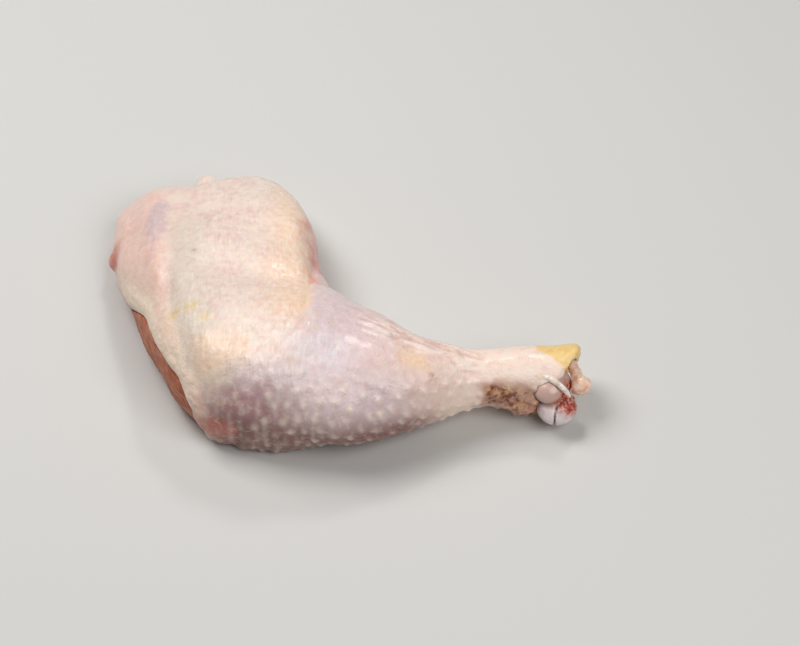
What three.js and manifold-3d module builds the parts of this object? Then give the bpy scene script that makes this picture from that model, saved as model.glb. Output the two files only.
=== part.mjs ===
// A raw chicken leg quarter: thigh and drumstick in one piece, lying skin side up.
// Millimetres, +Z up. The floor is z = 0, the drumstick points along +X and the thigh lies at -X.
// The skin is a thin shell round the meat. It is open under the thigh and down the hip side,
// where the bare meat shows, and at the hock, where the leg bone comes out.
import * as THREE from "three";
import { mergeVertices } from "three/addons/utils/BufferGeometryUtils.js";
import Module from "manifold-3d";

const wasm = await Module();
wasm.setup();

const { smoothstep } = THREE.MathUtils;
const vec = (x, y, z) => new THREE.Vector3(x, y, z);

// Layers
const SKIN = 2.0;
const GAP = 0.35;
const BARE_INSET = 0.8; // the bare meat lies this far inside the skin's outer face
const OUTER_STEP = 4.3; // grid of the skin's outer face
const INNER_STEP = 5.6; // grid of the faces that don't show
const LOW = vec(-98, -76, -16);
const HIGH = vec(98, 78, 50);

// The thigh, seen from above: its outline at the rim, anticlockwise from the back of the knee
const THIGH_OUTLINE = [
  [-8, 15.5], [-10, 30.5], [-15.5, 45], [-23, 56.5], [-33.5, 62], [-44.5, 62],
  [-51.5, 59.5], [-57.5, 55.5], [-67, 58], [-80, 54.5], [-86.4, 42.5], [-87, 29],
  [-84.3, 19.5], [-81.3, 7.5], [-75.8, -7.2], [-68.2, -24], [-58.2, -38.8], [-51, -46],
  [-46.8, -53], [-42.5, -58], [-31, -60], [-15.5, -57.5], [-0.5, -33.5], [-2, -5.5],
];
const THIGH_TOP = 36;
const THIGH_MIDDLE = [-38.5, -9.5]; // where the thigh is thickest
const RIM_HEIGHT = 9;
const RIM_TOP_ROUND = [12, 17]; // how far in the upper side curves over: knee side, hip side
const RIM_UNDER_ROUND = 10;
const FLAT = 1.5; // how much of the underside is pressed flat
const RIM_POWER = 2.3;
const BAND_DROP = 6; // the fatty band on the hip side lies lower
const BAND_ROLL = 1.4;
const BAND_MIDDLE = 10;
const CREASE = { depth: 1.1, width: 4.2 };
const FOLD = { depth: 0.9, width: 3.2 };
const FOLD_LINE = [[-9.5, 8], [-10, -8.5], [-11, -27], [-15.5, -37]]; // thigh meets drumstick
const KNOB = { at: vec(-52.5, 55.5, 16), radii: vec(5, 5, 4.5), blend: 3 };
const NUB = { at: vec(-84.7, 22.5, 9.5), radii: vec(3, 3.5, 3.5), blend: 2 };

// The drumstick: stations along X, each with the centre's y and z and the half width and height
const DRUMSTICK = [
  { x: -38.5, y: -32.5, z: 19, wide: 20, tall: 18 },
  { x: -18.5, y: -35.5, z: 19.2, wide: 26.5, tall: 19.5 },
  { x: 0.5, y: -37.5, z: 18.5, wide: 29.3, tall: 19.5 },
  { x: 16.5, y: -40.6, z: 18, wide: 22.4, tall: 18 },
  { x: 31.5, y: -41.5, z: 16.5, wide: 14.8, tall: 14.5 },
  { x: 46.5, y: -38.8, z: 15.5, wide: 10.6, tall: 10.4 },
  { x: 63.5, y: -37, z: 14.5, wide: 10.2, tall: 10.6 },
  { x: 82, y: -36.5, z: 14.2, wide: 10.4, tall: 11.4 },
];
const HOCK_END_ROUND = 5;
const HEEL = { at: vec(65, -43.5, 9), radii: vec(8, 5, 5), blend: 4 };

// The thigh and drumstick run into each other softly, but sharply at the back of the knee
const KNEE_BACK = [-9, 10];
const BLEND_SHARP = 3;
const BLEND_SOFT = 13;
const BLEND_REACH = [8, 43];

// The window in the skin, seen from above, and its height on the hip side
const WINDOW = [
  [-84, 11], [-100, 6], [-108, -20], [-60, -66], [-44, -46], [-34, -30], [-20, -8], [-21, 22],
  [-32, 47], [-70, 41],
];
const WINDOW_HEIGHT = 7.5;
const WINDOW_START = 6; // the prism that cuts it begins this far below the floor

// A long oval cut on the hip side, where the skin stops higher up and a strip of meat shows
const SIDE_CUT = { from: vec(-79, 4, 6), to: vec(-48, -56, 13), wide: 10, tall: 14.5 };

// The hock: the skin is cut on a slant, and the bone's two condyles stand out of it
const CUT_AT = vec(71.5, -47.1, 14);
const CUT_NORMAL = vec(1, -0.72, -0.35).normalize();
const MEAT_RECESS = 7;
const CONDYLES = [
  { at: vec(73.5, -43.9, 15.8), radii: vec(6, 5.5, 4.6) }, // upper
  { at: vec(76.5, -45.9, 8.5), radii: vec(7.2, 7.2, 6) }, // lower
  { at: vec(74.5, -39.5, 12.5), radii: vec(7.5, 6.5, 7.5) }, // the joint end between them
];
const SHAFT = { from: vec(-22, -35, 19), to: vec(72, -39, 13.5), radius: 4.2 };
const TENDON = { radius: 0.75, lift: 1.4, from: 2.5, to: 0.35, steps: 12, sides: 8, tilt: -0.75 };
const CAPSULE = [
  { at: vec(84.5, -40.5, 13.5), radii: vec(4.2, 3.4, 3.6) },
  { at: vec(83.2, -37.2, 16), radii: vec(2.4, 2.6, 2.4) },
  { at: vec(82, -35.2, 18.4), radii: vec(1.9, 2.2, 1.8) },
];
const FLOOR_SIZE = 300;

// The middle of the leg's footprint, which becomes the frame's origin
const FOOTPRINT_MIDDLE = vec(0.8, -2.1, 0);

function smoothMin(a, b, blend) {
  const h = THREE.MathUtils.clamp(0.5 + (b - a) / (2 * blend), 0, 1);
  return b + (a - b) * h - blend * h * (1 - h);
}

function ellipsoidField(p, { at, radii }) {
  const q = Math.hypot((p.x - at.x) / radii.x, (p.y - at.y) / radii.y, (p.z - at.z) / radii.z);
  return (q - 1) * Math.min(radii.x, radii.y, radii.z);
}

function segmentDistance(x, y, [ax, ay], [bx, by]) {
  const [ex, ey] = [bx - ax, by - ay];
  const t = THREE.MathUtils.clamp(((x - ax) * ex + (y - ay) * ey) / (ex * ex + ey * ey), 0, 1);
  return Math.hypot(x - ax - ex * t, y - ay - ey * t);
}

// A closed smooth line through the corners, as a list of points
function smoothOutline(corners, pieces) {
  const curve = new THREE.CatmullRomCurve3(corners.map(([x, y]) => vec(x, y, 0)), true, "catmullrom", 0.5);
  return curve.getPoints(corners.length * pieces).slice(0, -1).map((p) => [p.x, p.y]);
}

const thighOutline = smoothOutline(THIGH_OUTLINE, 5);

// Distance to the thigh's outline, less than 0 inside it
function outlineDistance(x, y) {
  let nearest = Infinity;
  let inside = false;
  thighOutline.forEach((a, i) => {
    const b = thighOutline[(i + 1) % thighOutline.length];
    nearest = Math.min(nearest, segmentDistance(x, y, a, b));
    const crosses = a[1] > y !== b[1] > y;
    if (crosses && x < ((b[0] - a[0]) * (y - a[1])) / (b[1] - a[1]) + a[0]) inside = !inside;
  });
  return inside ? -nearest : nearest;
}

// The crease that parts the fatty band on the hip side from the thigh's broad face
const creaseX = (y) => -61 - 0.13 * Math.max(y, 0) + 0.0052 * Math.min(y, 0) ** 2;

function thighTop(x, y) {
  const [mx, my] = THIGH_MIDDLE;
  const beyond = creaseX(y) - x;
  return (
    THIGH_TOP -
    0.003 * Math.max(y - my, 0) ** 2 -
    0.0035 * Math.max(x - mx, 0) ** 2 -
    0.002 * Math.min(x - mx, 0) ** 2 -
    BAND_DROP * smoothstep(beyond, 0, 14) +
    BAND_ROLL * Math.exp(-(((beyond - BAND_MIDDLE) / 6) ** 2))
  );
}

function thighField(p) {
  const inward = -outlineDistance(p.x, p.y);
  const above = p.z > RIM_HEIGHT;
  const [kneeRound, hipRound] = RIM_TOP_ROUND;
  const topRound = kneeRound + (hipRound - kneeRound) * smoothstep(-p.x - 18, 0, 20);
  const round = above ? topRound : RIM_UNDER_ROUND;
  const height = Math.max(above ? thighTop(p.x, p.y) - RIM_HEIGHT : RIM_HEIGHT + FLAT, 5);
  const out = Math.max(1 - inward / round, 0);
  const up = Math.abs(p.z - RIM_HEIGHT) / height;
  return ((out ** RIM_POWER + up ** RIM_POWER) ** (1 / RIM_POWER) - 1) * Math.min(round, height);
}

// A station's value at x, on a smooth curve through all the stations
function alongDrumstick(x, key) {
  const last = DRUMSTICK.length - 1;
  const slope = (i) => {
    const [a, b] = [DRUMSTICK[Math.max(i - 1, 0)], DRUMSTICK[Math.min(i + 1, last)]];
    return (b[key] - a[key]) / (b.x - a.x);
  };
  let i = 0;
  while (i < last - 1 && x > DRUMSTICK[i + 1].x) i += 1;
  const [a, b] = [DRUMSTICK[i], DRUMSTICK[i + 1]];
  const span = b.x - a.x;
  const t = THREE.MathUtils.clamp((x - a.x) / span, 0, 1);
  const ease = t * t * (3 - 2 * t);
  const bend = slope(i) * t * (1 - t) ** 2 - slope(i + 1) * t * t * (1 - t);
  return a[key] * (1 - ease) + b[key] * ease + span * bend;
}

function drumstickField(p) {
  const x = THREE.MathUtils.clamp(p.x, DRUMSTICK[0].x, DRUMSTICK.at(-1).x);
  const wide = alongDrumstick(x, "wide");
  const tall = alongDrumstick(x, "tall");
  const end = p.x < 0 ? wide : HOCK_END_ROUND;
  const across = (p.y - alongDrumstick(x, "y")) / wide;
  const up = (p.z - alongDrumstick(x, "z")) / tall;
  return (Math.hypot(across, up, (p.x - x) / end) - 1) * Math.min(wide, tall);
}

// How far a soft groove cuts in, at a distance from its middle
const groove = ({ depth, width }, distance) => depth * Math.exp(-((distance / width) ** 2));

// The whole leg with its skin on, less than 0 inside
function legField(p) {
  let thigh = thighField(p);
  for (const lump of [KNOB, NUB]) thigh = smoothMin(thigh, ellipsoidField(p, lump), lump.blend);
  const drumstick = smoothMin(drumstickField(p), ellipsoidField(p, HEEL), HEEL.blend);
  const fromKnee = Math.hypot(p.x - KNEE_BACK[0], p.y - KNEE_BACK[1]);
  const blend = BLEND_SHARP + BLEND_SOFT * smoothstep(fromKnee, ...BLEND_REACH);
  const crease = Math.abs(p.x - creaseX(p.y));
  const fold = Math.min(...FOLD_LINE.slice(1).map((b, i) => segmentDistance(p.x, p.y, FOLD_LINE[i], b)));
  return (
    smoothMin(thigh, drumstick, blend) +
    (groove(CREASE, crease) + groove(FOLD, fold)) * smoothstep(p.z, 14, 22) +
    0.5 * Math.sin(p.x * 0.19 + p.y * 0.07) * Math.sin(p.y * 0.17 - p.x * 0.05 + p.z * 0.1)
  );
}

function gradient(field, p) {
  const e = 0.05;
  const side = (dx, dy, dz) => field(vec(p.x + dx, p.y + dy, p.z + dz));
  return vec(
    side(e, 0, 0) - side(-e, 0, 0),
    side(0, e, 0) - side(0, -e, 0),
    side(0, 0, e) - side(0, 0, -e),
  ).divideScalar(2 * e);
}

// Wraps the field's zero surface in a closed mesh, with one vertex in each grid cell that it
// crosses, and draws each vertex onto the surface
function wrap(field, step) {
  const size = HIGH.clone().sub(LOW).divideScalar(step).ceil();
  const [nx, ny, nz] = [size.x, size.y, size.z];
  const index = (i, j, k) => (k * (ny + 1) + j) * (nx + 1) + i;
  const corner = (i, j, k) => vec(i, j, k).multiplyScalar(step).add(LOW);
  const values = new Float64Array((nx + 1) * (ny + 1) * (nz + 1));
  for (let k = 0; k <= nz; k++)
    for (let j = 0; j <= ny; j++)
      for (let i = 0; i <= nx; i++) values[index(i, j, k)] = field(corner(i, j, k));

  const corners = [0, 1, 2, 3, 4, 5, 6, 7].map((c) => [c & 1, (c >> 1) & 1, (c >> 2) & 1]);
  const edges = corners.flatMap((a, c) => [1, 2, 4].filter((bit) => !(c & bit)).map((bit) => [c, c | bit]));
  const vertexOf = new Map();
  const positions = [];
  for (let k = 0; k < nz; k++)
    for (let j = 0; j < ny; j++)
      for (let i = 0; i < nx; i++) {
        const f = corners.map(([a, b, c]) => values[index(i + a, j + b, k + c)]);
        const crossed = edges.filter(([a, b]) => f[a] < 0 !== f[b] < 0);
        if (!crossed.length) continue;
        const middle = vec(0, 0, 0);
        for (const [a, b] of crossed) {
          const start = vec(...corners[a]);
          middle.add(start.lerp(vec(...corners[b]), f[a] / (f[a] - f[b])));
        }
        const p = middle.divideScalar(crossed.length).add(vec(i, j, k)).multiplyScalar(step).add(LOW);
        for (let round = 0; round < 4; round++) {
          const g = gradient(field, p);
          p.addScaledVector(g, -field(p) / Math.max(g.lengthSq(), 0.1));
        }
        vertexOf.set(index(i, j, k), positions.length / 3);
        positions.push(p.x, p.y, p.z);
      }

  const triangles = [];
  const quad = (a, b, c, d, flip) => {
    const q = [a, b, c, d].map((at) => vertexOf.get(index(...at)));
    triangles.push(...(flip ? [q[0], q[2], q[1], q[0], q[3], q[2]] : [q[0], q[1], q[2], q[0], q[2], q[3]]));
  };
  for (let k = 1; k < nz; k++)
    for (let j = 1; j < ny; j++)
      for (let i = 1; i < nx; i++) {
        const here = values[index(i, j, k)] < 0;
        if (here !== values[index(i + 1, j, k)] < 0)
          quad([i, j - 1, k - 1], [i, j, k - 1], [i, j, k], [i, j - 1, k], !here);
        if (here !== values[index(i, j + 1, k)] < 0)
          quad([i - 1, j, k - 1], [i - 1, j, k], [i, j, k], [i, j, k - 1], !here);
        if (here !== values[index(i, j, k + 1)] < 0)
          quad([i - 1, j - 1, k], [i, j - 1, k], [i, j, k], [i - 1, j, k], !here);
      }
  const geometry = new THREE.BufferGeometry();
  geometry.setAttribute("position", new THREE.Float32BufferAttribute(positions, 3));
  geometry.setIndex(triangles);
  return geometry;
}

// The same surface, moved inwards by a depth
function inset(geometry, field, depth) {
  const made = geometry.clone();
  const position = made.getAttribute("position");
  for (let i = 0; i < position.count; i++) {
    const p = vec().fromBufferAttribute(position, i);
    p.addScaledVector(gradient(field, p).normalize(), -depth);
    position.setXYZ(i, p.x, p.y, p.z);
  }
  return made;
}

function solid(geometry) {
  const bare = geometry.clone();
  for (const name of ["normal", "uv"]) bare.deleteAttribute(name);
  const merged = mergeVertices(bare, 1e-4);
  return new wasm.Manifold(
    new wasm.Mesh({
      numProp: 3,
      vertProperties: new Float32Array(merged.getAttribute("position").array),
      triVerts: new Uint32Array(merged.index.array),
    }),
  );
}

function geometryOf(made) {
  const { numProp, vertProperties, triVerts } = made.getMesh();
  const geometry = new THREE.BufferGeometry();
  const points = new Float32Array((vertProperties.length / numProp) * 3);
  for (let i = 0; i < points.length / 3; i++)
    points.set(vertProperties.subarray(i * numProp, i * numProp + 3), i * 3);
  geometry.setAttribute("position", new THREE.BufferAttribute(points, 3));
  geometry.setIndex(new THREE.BufferAttribute(new Uint32Array(triVerts), 1));
  geometry.computeVertexNormals();
  return geometry;
}

function ellipsoid({ at, radii }, sides, grow = 0) {
  const r = radii.clone().addScalar(grow);
  const ball = new THREE.SphereGeometry(1, sides, sides / 2).scale(r.x, r.y, r.z);
  return solid(ball.translate(at.x, at.y, at.z));
}

const joined = (solids) => solids.reduce((all, one) => all.add(one));

// Everything below a height
function below(height) {
  const slab = new THREE.BoxGeometry(FLOOR_SIZE, FLOOR_SIZE, FLOOR_SIZE);
  return solid(slab.translate(0, 0, height - FLOOR_SIZE / 2));
}

// The prism that opens the skin under the thigh and down its hip side
function windowPrism(shrink) {
  const outline = smoothOutline(WINDOW, 5);
  const points = outline.map(([x, y], i) => {
    const before = outline.at(i - 1);
    const after = outline[(i + 1) % outline.length];
    const inwards = new THREE.Vector2(before[1] - after[1], after[0] - before[0]).setLength(shrink);
    return new THREE.Vector2(x, y).add(inwards);
  });
  const depth = WINDOW_HEIGHT + WINDOW_START - shrink;
  const prism = new THREE.ExtrudeGeometry(new THREE.Shape(points), { depth, bevelEnabled: false });
  return solid(prism.translate(0, 0, -WINDOW_START));
}

function sideCut(shrink) {
  const { from, to, wide, tall } = SIDE_CUT;
  const along = to.clone().sub(from);
  const ball = new THREE.SphereGeometry(1, 24, 12);
  ball.scale(along.length() / 2 - shrink, wide - shrink, tall - shrink);
  ball.applyQuaternion(new THREE.Quaternion().setFromUnitVectors(vec(1, 0, 0), along.normalize()));
  const middle = from.clone().add(to).divideScalar(2);
  return solid(ball.translate(middle.x, middle.y, middle.z));
}

// All that is cut out of the skin to bare the meat
const opening = (shrink) => windowPrism(shrink).add(sideCut(shrink));

// Everything past the slanted cut at the hock, moved back towards the knee
function pastHock(back) {
  const size = 80;
  const block = new THREE.BoxGeometry(size, size, size).translate(size / 2, 0, 0);
  block.applyQuaternion(new THREE.Quaternion().setFromUnitVectors(vec(1, 0, 0), CUT_NORMAL));
  const at = CUT_AT.clone().addScaledVector(CUT_NORMAL, -back);
  return solid(block.translate(at.x, at.y, at.z));
}

function boneSolid(grow = 0) {
  const along = SHAFT.to.clone().sub(SHAFT.from);
  const middle = SHAFT.from.clone().add(SHAFT.to).divideScalar(2);
  const radius = SHAFT.radius + grow;
  const shaft = new THREE.CylinderGeometry(radius, radius, along.length() + 2 * grow, 20);
  shaft.applyQuaternion(new THREE.Quaternion().setFromUnitVectors(vec(0, 1, 0), along.normalize()));
  shaft.translate(middle.x, middle.y, middle.z);
  return joined([solid(shaft), ...CONDYLES.map((c) => ellipsoid(c, 24, grow))]);
}

// The white strip of tendon, bent over the upper condyle
function tendonSolid(grow = 0) {
  const { at, radii } = CONDYLES[0];
  const { radius, lift, from, to, steps, sides, tilt } = TENDON;
  const points = Array.from({ length: steps + 1 }, (_, i) => {
    const angle = from + ((to - from) * i) / steps;
    const [across, up] = [Math.cos(angle), Math.sin(angle)];
    return vec(
      at.x + (radii.x + lift) * across,
      at.y + (radii.y + lift) * across * tilt,
      at.z + (radii.z + lift) * up,
    );
  });
  const curve = new THREE.EllipseCurve(0, 0, radius + grow, radius * 1.5 + grow);
  const section = new THREE.Shape(curve.getPoints(sides));
  const path = new THREE.CatmullRomCurve3(points);
  return solid(new THREE.ExtrudeGeometry(section, { steps: steps * 2, extrudePath: path }));
}

const outerFace = wrap(legField, OUTER_STEP);
const innerFace = inset(wrap(legField, INNER_STEP), legField, SKIN);
const outer = solid(outerFace).subtract(below(0));
const inner = solid(innerFace).subtract(below(SKIN));
const core = solid(inset(innerFace, legField, GAP)).subtract(below(SKIN + GAP));
const bareSide = solid(inset(outerFace, legField, BARE_INSET)).subtract(below(0));
const bone = boneSolid();
const roomForBone = boneSolid(GAP);
const roomForTendon = tendonSolid(GAP);
const tendon = tendonSolid().subtract(roomForBone);
const capsule = joined(CAPSULE.map((lobe) => ellipsoid(lobe, 14))).subtract(roomForBone);

const skin = outer
  .subtract(inner)
  .subtract(opening(0))
  .subtract(pastHock(0))
  .subtract(roomForBone)
  .subtract(roomForTendon);
const meat = core
  .add(bareSide.intersect(opening(GAP)))
  .subtract(pastHock(MEAT_RECESS))
  .subtract(roomForBone)
  .subtract(roomForTendon);

const leg = new THREE.Group();
const pieces = {
  skin: [skin, 0xe9cdb9, 0.4],
  meat: [meat, 0xb0614e, 0.45],
  bone: [bone, 0xd5ccd6, 0.3],
  tendon: [tendon, 0xefe2d4, 0.35],
  joint_capsule: [capsule, 0xd9a283, 0.4],
};
for (const [name, [made, color, roughness]] of Object.entries(pieces)) {
  const geometry = geometryOf(made).translate(...FOOTPRINT_MIDDLE.clone().negate().toArray());
  const mesh = new THREE.Mesh(geometry, new THREE.MeshStandardMaterial({ color, roughness }));
  mesh.name = name;
  leg.add(mesh);
}

export default leg;
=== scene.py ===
# %% [markdown]
# # A raw chicken leg quarter
# The solids of this leg are already packed as a frame: skin, meat, bone, tendon and joint capsule.
# They have the true size and the main shape, but they are coarse. Here each of them gets a fine
# twin in the same place, with the goosebumps, wrinkles, folds and colours of real raw chicken.

import bpy
import numpy as np
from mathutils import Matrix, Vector, noise


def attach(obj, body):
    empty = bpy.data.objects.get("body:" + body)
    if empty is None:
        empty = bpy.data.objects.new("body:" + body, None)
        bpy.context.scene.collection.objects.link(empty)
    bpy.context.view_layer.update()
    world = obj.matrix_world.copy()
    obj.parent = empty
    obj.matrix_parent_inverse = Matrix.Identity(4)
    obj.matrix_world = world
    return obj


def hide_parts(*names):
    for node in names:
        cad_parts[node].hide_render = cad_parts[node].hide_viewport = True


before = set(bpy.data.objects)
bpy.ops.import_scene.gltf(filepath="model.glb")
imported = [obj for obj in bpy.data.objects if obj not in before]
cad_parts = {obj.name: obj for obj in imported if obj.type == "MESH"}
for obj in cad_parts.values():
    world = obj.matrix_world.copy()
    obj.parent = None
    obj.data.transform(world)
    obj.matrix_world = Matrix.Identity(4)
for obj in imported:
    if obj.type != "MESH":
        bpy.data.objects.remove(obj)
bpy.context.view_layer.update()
print("solids:", sorted(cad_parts))

# %% [markdown]
# The leg is soft and has no straight line in it, so it isn't modelled from boxes or profiles.
# It is described by a formula instead, a field: a number for each point in space, less than 0
# inside the leg and more than 0 outside. Two forms melt into each other when the smaller of their
# numbers is taken with a soft corner. The sizes below are those of the solids, in millimetres.

# %% Sizes of the leg
MM = 0.001
FOOTPRINT_MIDDLE = np.array([0.8, -2.1, 0.0])
SKIN = 2.0
GAP = 0.35
BARE_INSET = 0.8
LOW = np.array([-98.0, -76.0, -16.0])
HIGH = np.array([98.0, 78.0, 50.0])

THIGH_OUTLINE = [
    (-8, 15.5), (-10, 30.5), (-15.5, 45), (-23, 56.5), (-33.5, 62), (-44.5, 62),
    (-51.5, 59.5), (-57.5, 55.5), (-67, 58), (-80, 54.5), (-86.4, 42.5), (-87, 29),
    (-84.3, 19.5), (-81.3, 7.5), (-75.8, -7.2), (-68.2, -24), (-58.2, -38.8), (-51, -46),
    (-46.8, -53), (-42.5, -58), (-31, -60), (-15.5, -57.5), (-0.5, -33.5), (-2, -5.5),
]
# The thigh's highest place, where it is, and how its rim is rounded towards the knee and the hip
THIGH_TOP = 36
THIGH_MIDDLE = (-38.5, -9.5)
RIM_HEIGHT = 9
RIM_TOP_ROUND = (12, 17)
RIM_UNDER_ROUND = 10
FLAT = 1.5
RIM_POWER = 2.3
# The fatty band on the hip side lies lower, with a soft roll along its middle
BAND_DROP = 6
BAND_ROLL = 1.4
BAND_MIDDLE = 10
CREASE_DEPTH, CREASE_WIDTH = 1.1, 4.2
FOLD_DEPTH, FOLD_WIDTH = 0.9, 3.2
FOLD_LINE = [(-9.5, 8), (-10, -8.5), (-11, -27), (-15.5, -37)]
# Small lumps on the leg: the centre, then the radii
KNOB = ((-52.5, 55.5, 16), (5, 5, 4.5))
NUB = ((-84.7, 22.5, 9.5), (3, 3.5, 3.5))
HEEL = ((65, -43.5, 9), (8, 5, 5))
KNOB_BLEND, NUB_BLEND, HEEL_BLEND = 3, 2, 4

# The drumstick's stations: x, the centre's y and z, half the width and half the height
DRUMSTICK = np.array([
    (-38.5, -32.5, 19, 20, 18),
    (-18.5, -35.5, 19.2, 26.5, 19.5),
    (0.5, -37.5, 18.5, 29.3, 19.5),
    (16.5, -40.6, 18, 22.4, 18),
    (31.5, -41.5, 16.5, 14.8, 14.5),
    (46.5, -38.8, 15.5, 10.6, 10.4),
    (63.5, -37, 14.5, 10.2, 10.6),
    (82, -36.5, 14.2, 10.4, 11.4),
])
HOCK_END_ROUND = 5
# Thigh and drumstick meet sharply at the back of the knee and ever more softly away from it
KNEE_BACK = (-9, 10)
BLEND_SHARP, BLEND_SOFT = 3, 13
BLEND_REACH = (8, 43)

WINDOW = [
    (-84, 11), (-100, 6), (-108, -20), (-60, -66), (-44, -46), (-34, -30), (-20, -8), (-21, 22),
    (-32, 47), (-70, 41),
]
WINDOW_HEIGHT = 7.5
# The side cut is a long ellipsoid between two points, with its half width and half height
SIDE_CUT_FROM, SIDE_CUT_TO = np.array([-79, 4, 6]), np.array([-48, -56, 13])
SIDE_CUT_WIDE, SIDE_CUT_TALL = 10, 14.5
# The slanted cut at the hock: a point on it and the way it faces
CUT_AT = np.array([71.5, -47.1, 14])
CUT_NORMAL = np.array([1, -0.72, -0.35]) / np.linalg.norm([1, -0.72, -0.35])
# How far the meat lies behind the cut at the hock; the solid has it 3 mm deeper
MEAT_RECESS = 4

# %% [markdown]
# numpy works out the field for a whole array of points at once. The distance to the thigh's
# outline is the slow part, so it is measured once on a fine table and then looked up.

# %% Small tools for shapes


def smooth(value, low, high):
    """0 below low, 1 above high and a soft step between them"""
    t = np.clip((value - low) / (high - low), 0, 1)
    return t * t * (3 - 2 * t)


def melt(a, b, blend):
    """Joins two fields with a soft corner"""
    h = np.clip(0.5 + (b - a) / (2 * blend), 0, 1)
    return b + (a - b) * h - blend * h * (1 - h)


def hill(distance, width):
    """1 at distance 0, falling away softly"""
    return np.exp(-((distance / width) ** 2))


def ellipsoid(x, y, z, centre, radii):
    reach = np.sqrt(sum(((v - c) / r) ** 2 for v, c, r in zip((x, y, z), centre, radii)))
    return (reach - 1) * min(radii)


def to_line(x, y, line):
    """Distance from each point to a line through corners, seen from above"""
    nearest = np.full(np.shape(x), np.inf)
    for (ax, ay), (bx, by) in zip(line[:-1], line[1:]):
        ex, ey = bx - ax, by - ay
        t = np.clip(((x - ax) * ex + (y - ay) * ey) / (ex * ex + ey * ey), 0, 1)
        nearest = np.minimum(nearest, np.hypot(x - ax - ex * t, y - ay - ey * t))
    return nearest


def smooth_outline(corners, pieces=5):
    """A closed smooth line through the corners"""
    b = np.array(corners, float)[:, None, :]
    a, c, d = np.roll(b, 1, 0), np.roll(b, -1, 0), np.roll(b, -2, 0)
    t = (np.arange(pieces) / pieces)[None, :, None]
    curve = 2 * b + (c - a) * t + (2 * a - 5 * b + 4 * c - d) * t**2 + (3 * b - a - 3 * c + d) * t**3
    return (curve / 2).reshape(-1, 2)


def inside_outline(x, y, outline):
    inside = np.zeros(np.shape(x), bool)
    for (ax, ay), (bx, by) in zip(outline, np.roll(outline, -1, 0)):
        if ay != by:
            inside ^= ((ay > y) != (by > y)) & (x < (bx - ax) * (y - ay) / (by - ay) + ax)
    return inside


def outline_table(corners, step=0.5, margin=25):
    """A function that looks up the distance to a closed outline, less than 0 inside it"""
    outline = smooth_outline(corners)
    low = outline.min(0) - margin
    counts = np.ceil((outline.max(0) + margin - low) / step).astype(int) + 1
    x, y = np.meshgrid(*(low[a] + step * np.arange(counts[a]) for a in (0, 1)), indexing="ij")
    table = to_line(x, y, np.vstack([outline, outline[:1]]))
    table[inside_outline(x, y, outline)] *= -1

    def look_up(x, y):
        u = np.clip((x - low[0]) / step, 0, counts[0] - 1.001)
        v = np.clip((y - low[1]) / step, 0, counts[1] - 1.001)
        i, j = u.astype(int), v.astype(int)
        u, v = u - i, v - j
        near = table[i, j] * (1 - v) + table[i, j + 1] * v
        far = table[i + 1, j] * (1 - v) + table[i + 1, j + 1] * v
        return near * (1 - u) + far * u

    return look_up


thigh_outline = outline_table(THIGH_OUTLINE)
window_outline = outline_table(WINDOW)
print("the thigh's middle lies", round(float(-thigh_outline(-40.0, 0.0)), 1), "mm inside its rim")

# %% [markdown]
# The thigh is a cushion over its outline: full in the middle, rounded at the rim, pressed flat
# underneath. A lower, fatty band runs down the hip side. The drumstick is a tube whose middle and
# thickness change along its length, like a club. At the back of the knee the two meet in a sharp
# notch, and elsewhere they melt softly into each other.

# %% The leg as a field


def crease_x(y):
    return -61 - 0.13 * np.maximum(y, 0) + 0.0052 * np.minimum(y, 0) ** 2


def thigh_field(x, y, z):
    inward = -thigh_outline(x, y)
    across, along = x - THIGH_MIDDLE[0], y - THIGH_MIDDLE[1]
    beyond = crease_x(y) - x
    top = THIGH_TOP - 0.003 * np.maximum(along, 0) ** 2 - 0.0035 * np.maximum(across, 0) ** 2
    top = top - 0.002 * np.minimum(across, 0) ** 2
    top = top - BAND_DROP * smooth(beyond, 0, 14) + BAND_ROLL * hill(beyond - BAND_MIDDLE, 6)
    above = z > RIM_HEIGHT
    knee_round, hip_round = RIM_TOP_ROUND
    top_round = knee_round + (hip_round - knee_round) * smooth(-x - 18, 0, 20)
    rounding = np.where(above, top_round, RIM_UNDER_ROUND)
    height = np.maximum(np.where(above, top - RIM_HEIGHT, RIM_HEIGHT + FLAT), 5)
    out = np.maximum(1 - inward / rounding, 0)
    up = np.abs(z - RIM_HEIGHT) / height
    reach = (out**RIM_POWER + up**RIM_POWER) ** (1 / RIM_POWER)
    return (reach - 1) * np.minimum(rounding, height)


def along_drumstick(x):
    """The centre's y and z and the half width and height at x"""
    stations = DRUMSTICK[:, 0]
    slopes = np.empty_like(DRUMSTICK)
    slopes[1:-1] = (DRUMSTICK[2:] - DRUMSTICK[:-2]) / (stations[2:] - stations[:-2])[:, None]
    slopes[0] = (DRUMSTICK[1] - DRUMSTICK[0]) / (stations[1] - stations[0])
    slopes[-1] = (DRUMSTICK[-1] - DRUMSTICK[-2]) / (stations[-1] - stations[-2])
    i = np.clip(np.searchsorted(stations, x) - 1, 0, len(stations) - 2)
    span = stations[i + 1] - stations[i]
    t = np.clip((x - stations[i]) / span, 0, 1)
    ease = t * t * (3 - 2 * t)
    values = []
    for k in (1, 2, 3, 4):
        bend = slopes[i, k] * t * (1 - t) ** 2 - slopes[i + 1, k] * t * t * (1 - t)
        values.append(DRUMSTICK[i, k] * (1 - ease) + DRUMSTICK[i + 1, k] * ease + span * bend)
    return values


def drumstick_field(x, y, z):
    near = np.clip(x, DRUMSTICK[0, 0], DRUMSTICK[-1, 0])
    middle_y, middle_z, wide, tall = along_drumstick(near)
    end = np.where(x < 0, wide, HOCK_END_ROUND)
    reach = ((y - middle_y) / wide) ** 2 + ((z - middle_z) / tall) ** 2 + ((x - near) / end) ** 2
    return (np.sqrt(reach) - 1) * np.minimum(wide, tall)


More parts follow.
